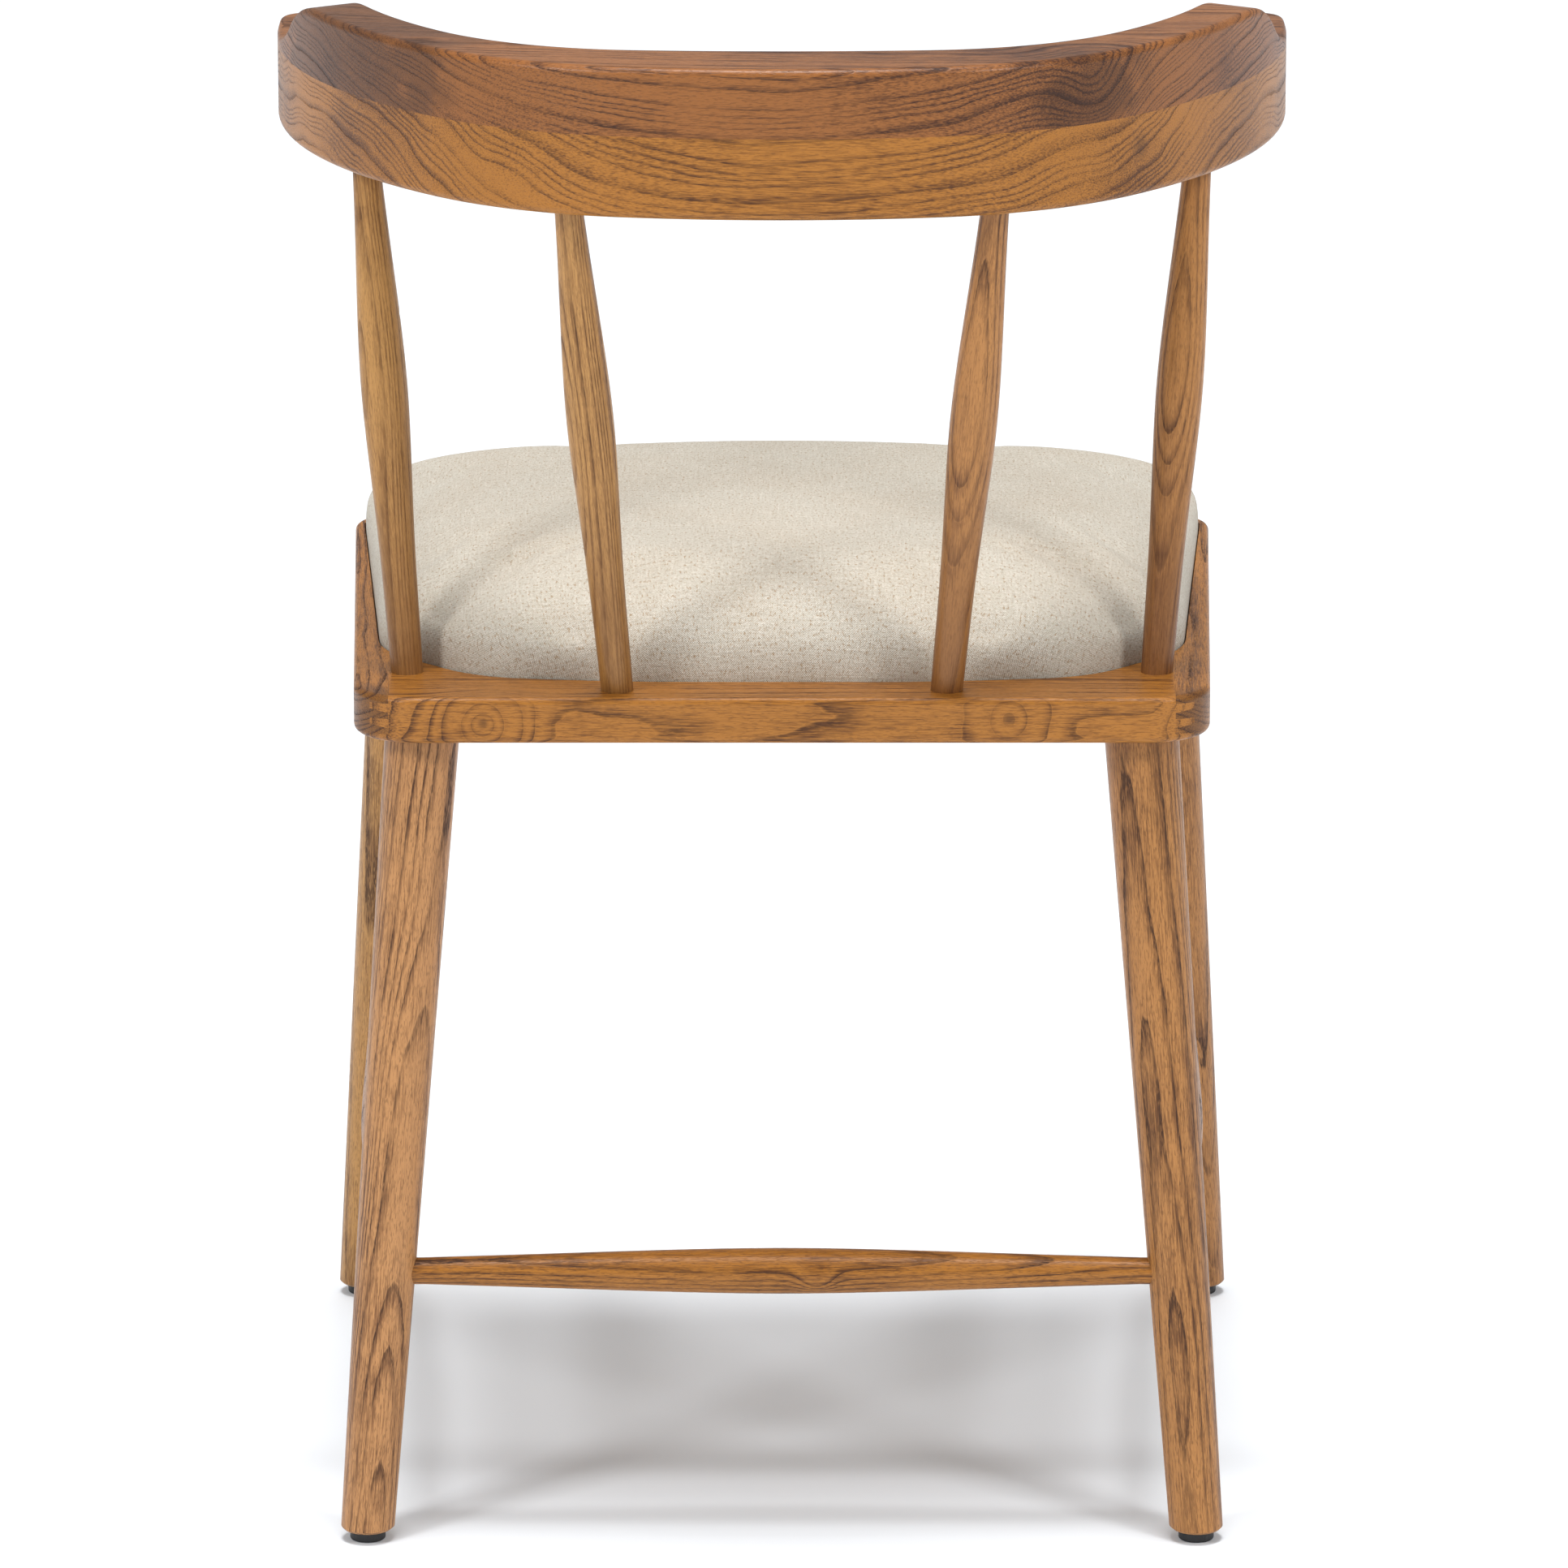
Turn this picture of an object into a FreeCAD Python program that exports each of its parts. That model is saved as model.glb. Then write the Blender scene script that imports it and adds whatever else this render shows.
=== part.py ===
import FreeCAD, Part
import math
import os
import Sketcher

# Wooden armchair: bow-shaped back rail on four turned spindles, rounded seat frame, four splayed
# legs tied by three turned stretchers, and an upholstered drop-in seat.
# Millimetres, +Z up. The chair faces -Y, so +X is the sitter's left. The origin is on the floor,
# at the centre of the bounding box. Lengths along Y in the sheet are taken from the middle of the
# seat, and each node is then moved along Y by the sheet's seat_middle_y.

Vector = FreeCAD.Vector
os.makedirs("parts", exist_ok=True)
doc = FreeCAD.newDocument("armchair")

SIZES = [
    # where the middle of the seat lies, so that the bounding box is centred on the origin
    ("seat_middle_y", -28.93),
    # seat frame: outline, section, rebate for the drop-in seat
    ("frame_top", 460.0),
    ("frame_thick", 24.6),
    ("frame_rear_y", 212.3),
    ("frame_front_y", -207.3),
    ("frame_rear_half", 222.5),
    ("frame_front_half", 239.1),
    ("frame_rear_radius", 34.0),
    ("frame_front_radius", 26.0),
    ("frame_round", 3.6),
    ("rear_rail_width", 47.0),
    ("front_rail_width", 46.0),
    ("side_rail_width", 44.0),
    ("rebate_depth", 9.0),
    # the rear rail widens into a web at each corner, under the outer spindles
    ("web_x", 145.0),
    ("web_y", 129.4),
    ("web_end_y", 124.0),
    # comb joints between the rails
    ("rear_butt_x", 204.6),
    ("front_butt_x", 219.5),
    ("finger_length", 10.0),
    ("finger_ease", 0.45),
    # outline of the drop-in seat, half of it
    ("seat_back_x", 75.0),
    ("seat_back_y", 177.5),
    ("seat_turn_x", 160.0),
    ("seat_turn_y", 167.0),
    ("seat_side_x", 213.0),
    ("seat_side_y", 110.0),
    ("seat_front_x", 234.8),
    ("seat_front_y", -203.0),
    ("seat_turn_radius", 68.0),
    ("seat_back_radius", 380.0),
    ("seat_front_radius", 24.0),
    ("seat_gap", 0.5),
    ("wrap_thick", 2.5),
    ("panel_thick", 8.7),
    ("cushion_top", 509.0),
    ("cushion_round", 30.0),
    # legs, as straight cones from the foot to the underside of the frame
    ("rear_foot_x", 220.4),
    ("rear_foot_y", 213.4),
    ("rear_head_x", 188.0),
    ("rear_head_y", 177.4),
    ("front_foot_x", 239.9),
    ("front_foot_y", -213.4),
    ("front_head_x", 209.3),
    ("front_head_y", -178.4),
    ("leg_foot_radius", 14.1),
    ("leg_head_radius", 19.6),
    ("leg_foot_chamfer", 1.4),
    ("leg_tenon_radius", 9.8),
    ("leg_tenon_length", 12.0),
    ("glue_gap", 0.05),
    # glides
    ("glide_radius", 9.4),
    ("glide_thick", 6.0),
    ("glide_round", 1.2),
    ("nail_radius", 1.25),
    ("nail_length", 16.0),
    # stretchers
    ("rear_stretcher_height", 145.0),
    ("side_stretcher_height", 160.5),
    ("stretcher_end_radius", 7.1),
    ("stretcher_middle_radius", 12.1),
    ("stretcher_depth", 12.0),
    # spindles: where each axis crosses the frame's top and the bow's underside
    ("inner_base_x", 85.8),
    ("inner_base_y", 193.6),
    ("inner_head_x", 108.5),
    ("inner_head_y", 246.5),
    ("outer_base_x", 196.7),
    ("outer_base_y", 154.9),
    ("outer_head_x", 216.2),
    ("outer_head_y", 131.0),
    ("spindle_base_radius", 8.4),
    ("spindle_head_radius", 7.4),
    ("spindle_middle_radius", 12.2),
    ("spindle_base_depth", 17.0),
    ("spindle_head_depth", 24.0),
    # bow: plan of its outer and inner faces as tangent arcs, and its two boards
    ("bow_parallel_y", -10.0),
    ("bow_tip_y", -40.0),
    ("outer_rear_y", 285.0),
    ("outer_half", 268.5),
    ("outer_back_radius", 437.0),
    ("outer_corner_radius", 174.0),
    ("outer_side_radius", 347.0),
    ("inner_rear_y", 229.0),
    ("inner_half", 236.5),
    ("inner_back_radius", 880.0),
    ("inner_corner_radius", 140.0),
    ("inner_side_radius", 296.0),
    ("bow_under", 727.0),
    ("bow_joint", 769.3),
    ("bow_top", 804.6),
    ("arm_top", 775.5),
    ("arm_fall_y", 59.0),
    ("arm_fall_run", 90.0),
    ("arm_fall_skew", 34.0),
    ("bow_tip_radius", 15.0),
    ("bow_round", 4.0),
    # corner blocks and screws
    ("block_leg", 44.0),
    ("block_width", 16.0),
    ("block_thick", 15.0),
    ("screw_radius", 2.0),
    ("screw_head_radius", 3.8),
    ("screw_head_thick", 2.6),
    ("block_screw_length", 34.0),
    ("seat_screw_length", 21.0),
]

sheet = doc.addObject("Spreadsheet::Sheet", "Sizes")
for row, (alias, value) in enumerate(SIZES, 1):
    sheet.set("A%d" % row, alias)
    sheet.set("B%d" % row, str(value))
    sheet.setAlias("B%d" % row, alias)
doc.recompute()

NODES = []


def number(expression):
    """The value of an expression that may name cells of the sheet."""
    return float(sheet.evalExpression(expression))


def size(alias):
    return number("Sizes." + alias)


def node(item, label):
    """Names a finished piece and moves it from the seat's middle to the chair's own frame."""
    item.Label = label
    item.setExpression("Placement.Base.y", "Sizes.seat_middle_y")
    NODES.append(item)
    return item


def origin_plane(body, role):
    return [item for item in body.Origin.OriginFeatures if item.Role == role][0]


def new_sketch(body, name, role, lift=None):
    """A sketch on one of the body's own origin planes, lifted along its normal."""
    sketch = body.newObject("Sketcher::SketchObject", name)
    sketch.AttachmentSupport = [(origin_plane(body, role), "")]
    sketch.MapMode = "FlatFace"
    if lift:
        sketch.setExpression("AttachmentOffset.Base.z", lift)
    return sketch


def hold(sketch, geometry, vertex, across, along):
    """Ties one point of a sketch to two expressions."""
    for kind, expression in (("DistanceX", across), ("DistanceY", along)):
        rule = Sketcher.Constraint(kind, -1, 1, geometry, vertex, number(expression))
        index = sketch.addConstraint(rule)
        sketch.setExpression("Constraints[%d]" % index, expression)


def polygon(sketch, corners):
    """A closed outline of straight lines whose corners are pairs of expressions."""
    points = [Vector(number(across), number(along), 0) for across, along in corners]
    count = len(points)
    for index in range(count):
        line = Part.LineSegment(points[index], points[(index + 1) % count])
        sketch.addGeometry(line, False)
    for index in range(count):
        sketch.addConstraint(Sketcher.Constraint("Coincident", index, 2, (index + 1) % count, 1))
    for index, (across, along) in enumerate(corners):
        hold(sketch, index, 1, across, along)


def pad(body, sketch, name, length, reverse=False):
    item = body.newObject("PartDesign::Pad", name)
    item.Profile = sketch
    item.setExpression("Length", length)
    item.Reversed = reverse
    doc.recompute()
    return item


def pocket(body, sketch, name, length, sides="One side"):
    """A pocket that must remove material."""
    before = body.Shape.Volume
    item = body.newObject("PartDesign::Pocket", name)
    item.Profile = sketch
    item.SideType = sides
    item.setExpression("Length", length)
    doc.recompute()
    assert body.Shape.Volume < before - 1.0, name + " cuts nothing"
    return item


def edge_names(shape, test):
    return ["Edge%d" % (index + 1) for index, edge in enumerate(shape.Edges) if test(edge)]


def fillet(body, name, radius, test):
    base = body.Tip
    names = edge_names(base.Shape, test)
    assert names, name + " finds no edges"
    item = body.newObject("PartDesign::Fillet", name)
    item.Base = (base, names)
    item.setExpression("Radius", radius)
    doc.recompute()
    return item


def upright_at(across, along):
    """True for a vertical edge that stands at one of the four mirrored points (x, y)."""
    def test(edge):
        box = edge.BoundBox
        upright = box.ZLength > 1.0 and box.XLength < 0.01 and box.YLength < 0.01
        return upright and abs(abs(box.Center.x) - across) < 0.3 and abs(box.Center.y - along) < 0.3
    return test


def mirrored(half):
    """Both halves of an outline that is given from its rear middle to its front corner."""
    return half + [("-(%s)" % across, along) for across, along in reversed(half)]


def seat_outline(inset):
    """Outline of the drop-in seat, drawn in by an expression."""
    half = [
        ("Sizes.seat_back_x", "Sizes.seat_back_y - %s" % inset),
        ("Sizes.seat_turn_x - 0.4 * %s" % inset, "Sizes.seat_turn_y - 0.9 * %s" % inset),
        ("Sizes.seat_side_x - 0.9 * %s" % inset, "Sizes.seat_side_y - 0.4 * %s" % inset),
        ("Sizes.seat_front_x - %s" % inset, "Sizes.seat_front_y + %s" % inset),
    ]
    return mirrored(half)


def seat_prism(label, inset, floor, height):
    """An upright prism with the seat's outline and rounded corners."""
    body = doc.addObject("PartDesign::Body", label + "_body")
    outline = new_sketch(body, label + "_outline", "XY_Plane", floor)
    corners = seat_outline(inset)
    polygon(outline, corners)
    pad(body, outline, label + "_pad", height)
    radii = ("seat_back_radius", "seat_turn_radius", "seat_turn_radius", "seat_front_radius")
    for index, alias in enumerate(radii):
        across, along = corners[index]
        where = upright_at(number(across), number(along))
        fillet(body, "%s_corner_%d" % (label, index), "Sizes." + alias, where)
    return body


def placement(start, end):
    """Puts a shape that stands on the origin along +Z onto the line from start to end."""
    return FreeCAD.Placement(start, FreeCAD.Rotation(Vector(0, 0, 1), end - start))


def solid(kind, name, place, **sizes):
    """A Part primitive with its sizes bound to expressions."""
    item = doc.addObject("Part::" + kind, name)
    for key, expression in sizes.items():
        item.setExpression(key, expression)
    item.Placement = place
    return item


def fuse(name, items):
    item = doc.addObject("Part::MultiFuse", name)
    item.Shapes = items
    doc.recompute()
    return item


def cut(name, base, tool):
    before = base.Shape.Volume
    item = doc.addObject("Part::Cut", name)
    item.Base = base
    item.Tool = tool
    doc.recompute()
    assert item.Shape.Volume < before, name + " cuts nothing"
    return item


def common(name, items):
    item = doc.addObject("Part::MultiCommon", name)
    item.Shapes = items
    doc.recompute()
    return item


SIDES = (("left", 1), ("right", -1))

# --- Axes ---------------------------------------------------------------------------------------
under = "Sizes.frame_top - Sizes.frame_thick"
FRAME_UNDER = number(under)
FRAME_TOP = size("frame_top")


def leg_axis(row, side):
    foot = Vector(side * size(row + "_foot_x"), size(row + "_foot_y"), 0)
    head = Vector(side * size(row + "_head_x"), size(row + "_head_y"), FRAME_UNDER)
    return foot, head


def at_height(line, height):
    """The point of a line, given by two points, at a height."""
    start, end = line
    return start + (end - start) * ((height - start.z) / (end.z - start.z))


def spindle_axis(row, side):
    base = Vector(side * size(row + "_base_x"), size(row + "_base_y"), FRAME_TOP)
    head = Vector(side * size(row + "_head_x"), size(row + "_head_y"), size("bow_under"))
    return base, head


def beyond(start, end, distance):
    """The point that lies past end by a distance, on the line from start."""
    direction = (end - start).normalize()
    return end + direction * distance


# --- Tools that cut the mortises and the screw holes --------------------------------------------
frame_tools = []
bow_tools = []
leg_tools = {}
for row in ("rear", "front"):
    for side_name, side in SIDES:
        foot, head = leg_axis(row, side)
        frame_tools.append(solid(
            "Cylinder", "%s_%s_leg_mortise" % (row, side_name), placement(head, beyond(foot, head, 1)),
            Radius="Sizes.leg_tenon_radius + Sizes.glue_gap",
            Height="Sizes.leg_tenon_length + 0.5"))
        leg_tools[row, side_name] = []
for row in ("inner", "outer"):
    for side_name, side in SIDES:
        base, head = spindle_axis(row, side)
        low = beyond(head, base, size("spindle_base_depth") + 0.5)
        frame_tools.append(solid(
            "Cylinder", "%s_%s_spindle_lower_mortise" % (row, side_name), placement(low, head),
            Radius="Sizes.spindle_base_radius + Sizes.glue_gap",
            Height="Sizes.spindle_base_depth + 6"))
        high = beyond(base, head, size("spindle_head_depth") + 0.5)
        bow_tools.append(solid(
            "Cylinder", "%s_%s_spindle_upper_mortise" % (row, side_name), placement(high, base),
            Radius="Sizes.spindle_head_radius + Sizes.glue_gap",
            Height="Sizes.spindle_head_depth + 6"))


def turned(name, start, end, stations, start_depth, end_depth):
    """A turned piece on the line from start to end.

    Stations are (fraction of the line, expression for the radius) pairs. The ends carry on
    straight past start and end, as the part of the piece that is glued into its mortises.
    """
    length = (end - start).Length
    lead = 4.0 / length
    stations = [(lead, stations[0][1])] + stations[1:-1] + [(1 - lead, stations[-1][1])]
    circles = []
    for index, (fraction, radius) in enumerate(stations):
        circle = doc.addObject("Part::Circle", "%s_section_%d" % (name, index))
        circle.setExpression("Radius", radius)
        centre = start + (end - start) * fraction
        circle.Placement = placement(centre, centre + (end - start))
        circles.append(circle)
    loft = doc.addObject("Part::Loft", name + "_turning")
    loft.Sections = circles
    loft.Solid = True
    loft.Ruled = False
    foot = beyond(end, start, number(start_depth))
    head = beyond(start, end, number(end_depth))
    lower = solid("Cylinder", name + "_start_tenon", placement(foot, end),
                  Radius=stations[0][1], Height="%s + 4" % start_depth)
    upper = solid("Cylinder", name + "_end_tenon", placement(head, start),
                  Radius=stations[-1][1], Height="%s + 4" % end_depth)
    return fuse(name, [loft, lower, upper])


# --- Spindles -----------------------------------------------------------------------------------
# Each spindle swells above its middle and thins to a long foot.
swell = "(Sizes.spindle_middle_radius - Sizes.spindle_%s_radius)"
SPINDLE = [
    (0.0, "Sizes.spindle_base_radius"),
    (0.16, "Sizes.spindle_base_radius + 0.15 * " + swell % "base"),
    (0.34, "Sizes.spindle_base_radius + 0.50 * " + swell % "base"),
    (0.545, "Sizes.spindle_middle_radius"),
    (0.77, "Sizes.spindle_head_radius + 0.585 * " + swell % "head"),
    (0.90, "Sizes.spindle_head_radius + 0.20 * " + swell % "head"),
    (1.0, "Sizes.spindle_head_radius"),
]
for row in ("inner", "outer"):
    for side_name, side in SIDES:
        base, head = spindle_axis(row, side)
        label = "spindle_%s_%s" % (row, side_name)
        item = turned(label + "_blank", base, head, SPINDLE,
                      "Sizes.spindle_base_depth", "Sizes.spindle_head_depth")
        node(item, label)

# --- Stretchers ---------------------------------------------------------------------------------
# Each stretcher is thickest at its middle and enters its two legs a little short of their axes.
rise = "(Sizes.stretcher_middle_radius - Sizes.stretcher_end_radius)"
HALF_STRETCHER = [
    (0.0, "Sizes.stretcher_end_radius"),
    (0.14, "Sizes.stretcher_end_radius + 0.30 * " + rise),
    (0.30, "Sizes.stretcher_end_radius + 0.70 * " + rise),
]
STRETCHER = (HALF_STRETCHER + [(0.5, "Sizes.stretcher_middle_radius")]
             + [(1 - fraction, radius) for fraction, radius in reversed(HALF_STRETCHER)])


def stretcher(label, height, start_leg, end_leg):
    """A stretcher between two legs, given as (row, side name, side) each."""
    ends = []
    for row, side_name, side in (start_leg, end_leg):
        ends.append(at_height(leg_axis(row, side), size(height)))
    start, end = ends
    direction = (end - start).normalize()
    inset = 16.0
    start_face = start + direction * inset
    end_face = end - direction * inset
    item = turned(label + "_blank", start_face, end_face, STRETCHER,
                  "Sizes.stretcher_depth", "Sizes.stretcher_depth")
    for (row, side_name, side), face, inward in ((start_leg, start_face, end),
                                                 (end_leg, end_face, start)):
        bottom = beyond(inward, face, size("stretcher_depth") + 0.5)
        tool = solid("Cylinder", "%s_mortise_in_%s_%s" % (label, row, side_name),
                     placement(bottom, inward),
                     Radius="Sizes.stretcher_end_radius + Sizes.glue_gap",
                     Height="Sizes.stretcher_depth + 8")
        leg_tools[row, side_name].append(tool)
    node(item, label)


stretcher("stretcher_rear", "rear_stretcher_height", ("rear", "left", 1), ("rear", "right", -1))
for side_name, side in SIDES:
    stretcher("stretcher_side_" + side_name, "side_stretcher_height",
              ("rear", side_name, side), ("front", side_name, side))

# --- Legs and glides ----------------------------------------------------------------------------
# A leg is a tilted cone trimmed flat under the frame and above its glide, with a round tenon on top.
slab = doc.addObject("Part::Box", "leg_span")
slab.setExpression("Length", "900")
slab.setExpression("Width", "900")
slab.setExpression("Height", "Sizes.frame_top - Sizes.frame_thick - Sizes.glide_thick")
slab.Placement = FreeCAD.Placement(Vector(-450, -450, size("glide_thick")), FreeCAD.Rotation())
for row in ("rear", "front"):
    for side_name, side in SIDES:
        foot, head = leg_axis(row, side)
        label = "leg_%s_%s" % (row, side_name)
        span = "%r" % (head - foot).Length
        # the cone runs on past both ends of the axis, at the same taper
        cone = solid("Cone", label + "_cone", placement(beyond(head, foot, 20), head),
                     Radius1="Sizes.leg_foot_radius - 20 / %s * (Sizes.leg_head_radius"
                             " - Sizes.leg_foot_radius)" % span,
                     Radius2="Sizes.leg_head_radius + 20 / %s * (Sizes.leg_head_radius"
                             " - Sizes.leg_foot_radius)" % span,
                     Height=span + " + 40")
        trimmed = common(label + "_trimmed", [cone, slab])
        ends = [index + 1 for index, edge in enumerate(trimmed.Shape.Edges)
                if edge.BoundBox.ZLength < 0.01 and edge.BoundBox.ZMax < size("glide_thick") + 0.1]
        chamfer = doc.addObject("Part::Chamfer", label + "_chamfered")
        chamfer.Base = trimmed
        width = size("leg_foot_chamfer")
        chamfer.Edges = [(index, width, width) for index in ends]
        tenon = solid("Cylinder", label + "_tenon", placement(beyond(foot, head, -6), beyond(foot, head, 1)),
                      Radius="Sizes.leg_tenon_radius", Height="Sizes.leg_tenon_length + 6")
        blank = fuse(label + "_blank", [chamfer, tenon])
        nail_at = at_height((foot, head), size("glide_thick"))
        nail_foot = Vector(nail_at.x, nail_at.y, 2.0)
        nail_top = Vector(nail_at.x, nail_at.y, 3.0)
        tool = solid("Cylinder", label + "_nail_hole", placement(nail_foot, nail_top),
                     Radius="Sizes.nail_radius + 0.02", Height="Sizes.nail_length + 4.5")
        tools = fuse(label + "_tools", leg_tools[row, side_name] + [tool])
        node(cut(label + "_bored", blank, tools), label)

        disc = solid("Cylinder", label + "_glide_disc",
                     FreeCAD.Placement(Vector(nail_at.x, nail_at.y, 0), FreeCAD.Rotation()),
                     Radius="Sizes.glide_radius", Height="Sizes.glide_thick")
        doc.recompute()
        rim = [index + 1 for index, edge in enumerate(disc.Shape.Edges)
               if edge.BoundBox.ZMax < 0.01 and edge.BoundBox.XLength > 1]
        rounded = doc.addObject("Part::Fillet", label + "_glide_rounded")
        rounded.Base = disc
        rounded.Edges = [(index, size("glide_round"), size("glide_round")) for index in rim]
        shank = solid("Cylinder", label + "_glide_nail", placement(nail_foot, nail_top),
                      Radius="Sizes.nail_radius", Height="Sizes.nail_length + 4")
        node(fuse("glide_%s_%s_whole" % (row, side_name), [rounded, shank]),
             "glide_%s_%s" % (row, side_name))

# --- Seat frame ---------------------------------------------------------------------------------
# One rounded ring with a rebate for the seat, parted into four rails by the comb joints.
ring = doc.addObject("PartDesign::Body", "frame_ring")
outer = new_sketch(ring, "ring_outline", "XY_Plane", under)
polygon(outer, mirrored([
    ("Sizes.frame_rear_half", "Sizes.frame_rear_y"),
    ("Sizes.frame_front_half", "Sizes.frame_front_y"),
]))
pad(ring, outer, "ring_pad", "Sizes.frame_thick")
fillet(ring, "ring_rear_corners", "Sizes.frame_rear_radius",
       upright_at(size("frame_rear_half"), size("frame_rear_y")))
fillet(ring, "ring_front_corners", "Sizes.frame_front_radius",
       upright_at(size("frame_front_half"), size("frame_front_y")))
opening = new_sketch(ring, "ring_opening", "XY_Plane", "Sizes.frame_top")
rear_inner = "Sizes.frame_rear_y - Sizes.rear_rail_width"
front_inner = "Sizes.frame_front_y + Sizes.front_rail_width"
splay = ("(Sizes.frame_front_half - Sizes.frame_rear_half)"
         " / (Sizes.frame_rear_y - Sizes.frame_front_y)")


def opening_half(along):
    """Half the width between the side rails, which lean outwards to the front, at one y."""
    return ("(Sizes.frame_rear_half - Sizes.side_rail_width + (Sizes.frame_rear_y - (%s)) * %s)"
            % (along, splay))


polygon(opening, mirrored([
    ("Sizes.web_x", rear_inner),
    (opening_half("Sizes.web_y"), "Sizes.web_y"),
    (opening_half(front_inner), front_inner),
]))
pocket(ring, opening, "ring_opening_cut", "Sizes.frame_thick + 1")


def outer_rim(edge):
    """Edges of the ring's outer wall at its top and its underside."""
    box = edge.BoundBox
    if box.ZLength > 0.01:
        return False
    middle = edge.valueAt((edge.FirstParameter + edge.LastParameter) / 2)
    if abs(middle.z - FRAME_TOP) > 0.01 and abs(middle.z - FRAME_UNDER) > 0.01:
        return False
    share = (size("frame_rear_y") - middle.y) / (size("frame_rear_y") - size("frame_front_y"))
    half = size("frame_rear_half") + share * (size("frame_front_half") - size("frame_rear_half"))
    at_side = abs(abs(middle.x) - half) < 0.2
    at_end = (abs(middle.y - size("frame_rear_y")) < 0.2
              or abs(middle.y - size("frame_front_y")) < 0.2)
    turning = box.XLength > 5 and box.YLength > 5 and abs(middle.x) > half - 13
    return at_side or at_end or (turning and (middle.y > 195 or middle.y < -195))


fillet(ring, "ring_rounded", "Sizes.frame_round", outer_rim)
rebate = seat_prism("seat_rebate", "0", "Sizes.frame_top - Sizes.rebate_depth", "40")
rebated_ring = cut("rebated_ring", ring, rebate)


def comb(body_label, butt, inner, facing_rear):
    """A block that takes in one cross rail, with the rail's fingers at both ends."""
    body = doc.addObject("PartDesign::Body", body_label)
    tip = "(%s + Sizes.finger_length)" % butt
    layer = "Sizes.frame_thick / 6"
    half = [(tip, under + " - 5")]
    for index in range(1, 6):
        level = "%s + %d * %s" % (under, index, layer)
        inward = index % 2 == 1
        first, second = (tip, butt) if inward else (butt, tip)
        half.append((first, level + " - Sizes.finger_ease"))
        half.append((second, level + " + Sizes.finger_ease"))
    half.append((butt, "Sizes.frame_top + 5"))
    profile = new_sketch(body, body_label + "_profile", "XZ_Plane", "-(%s)" % inner)
    polygon(profile, mirrored(half))
    pad(body, profile, body_label + "_pad", "120", reverse=facing_rear)
    return body


rear_zone = comb("rear_rail_zone", "Sizes.rear_butt_x", "Sizes.web_end_y", True)
front_zone = comb("front_rail_zone", "Sizes.front_butt_x", front_inner, False)
cross_zones = fuse("cross_rail_zones", [rear_zone, front_zone])

# Corner blocks, one in each inner corner of the frame: their outlines on the sitter's left.
web_slope = ("(%s - Sizes.web_x)" % opening_half("Sizes.web_y"), "(Sizes.web_y - (%s))" % rear_inner)
web_middle = ("(%s + Sizes.web_x) / 2" % opening_half("Sizes.web_y"),
              "(Sizes.web_y + (%s)) / 2" % rear_inner)
web_length = "sqrt(%s^2 + %s^2)" % web_slope
web_inward = ("%s / %s" % (web_slope[1], web_length), "(-1) * %s / %s" % (web_slope[0], web_length))
rear_block_end = "(Sizes.web_y - Sizes.block_leg)"
front_block_end = "(%s + Sizes.block_leg)" % front_inner
BLOCKS = {
    "rear": [
        (opening_half("Sizes.web_y"), "Sizes.web_y"),
        web_middle,
        ("%s + Sizes.block_width * %s" % (web_middle[0], web_inward[0]),
         "%s + Sizes.block_width * %s" % (web_middle[1], web_inward[1])),
        ("%s - Sizes.block_width" % opening_half(rear_block_end), rear_block_end),
        (opening_half(rear_block_end), rear_block_end),
    ],
    "front": [
        (opening_half(front_inner), front_inner),
        (opening_half(front_block_end), front_block_end),
        ("%s - Sizes.block_leg" % opening_half(front_inner), front_inner),
    ],
}

# Screws: two through each corner block into the rails, and six up into the seat panel. Each line
# is where a screw's head lies, the way it points, and its length.
block_level = number(under + " + Sizes.block_thick / 2")
third = size("block_leg") / 3
front_corner = Vector(number(opening_half(front_inner)), number(front_inner), block_level)
BLOCK_SCREWS = [
    (Vector(162.5, 100.0, block_level), Vector(1, 0, 0)),
    (Vector(153.8, 130.6, block_level), Vector(0.731, 0.682, 0)),
    (front_corner + Vector(-third, 2 * third, 0), Vector(1, 0, 0)),
    (front_corner + Vector(-2 * third, third, 0), Vector(0, -1, 0)),
]
screw_lines = []
for start, direction in BLOCK_SCREWS:
    for side_name, side in SIDES:
        screw_lines.append((Vector(side * start.x, start.y, start.z),
                            Vector(side * direction.x, direction.y, 0), "block_screw_length"))
block_screw_count = len(screw_lines)
for along in (-120.0, 55.0):
    for side_name, side in SIDES:
        screw_lines.append((Vector(side * 203.0, along, FRAME_UNDER), Vector(0, 0, 1),
                            "seat_screw_length"))
for across in (-110.0, 110.0):
    screw_lines.append((Vector(across, -184.0, FRAME_UNDER), Vector(0, 0, 1), "seat_screw_length"))

screws = []
screw_holes = []
for index, (start, direction, length) in enumerate(screw_lines):
    begin = start + direction * 0.4
    for gap, store, kind in ((0.0, screws, "screw"), (0.03, screw_holes, "screw_hole")):
        name = "%s_%d" % (kind, index)
        lead = 7.0 if gap else 0.0
        shank = solid("Cylinder", name + "_shank", placement(begin, begin + direction),
                      Radius="Sizes.screw_radius + %s" % gap, Height="Sizes.%s" % length)
        head = solid("Cylinder", name + "_head",
                     placement(begin - direction * lead, begin + direction),
                     Radius="Sizes.screw_head_radius + %s" % gap,
                     Height="Sizes.screw_head_thick + %s" % lead)
        store.append(fuse(name, [shank, head]))

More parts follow.
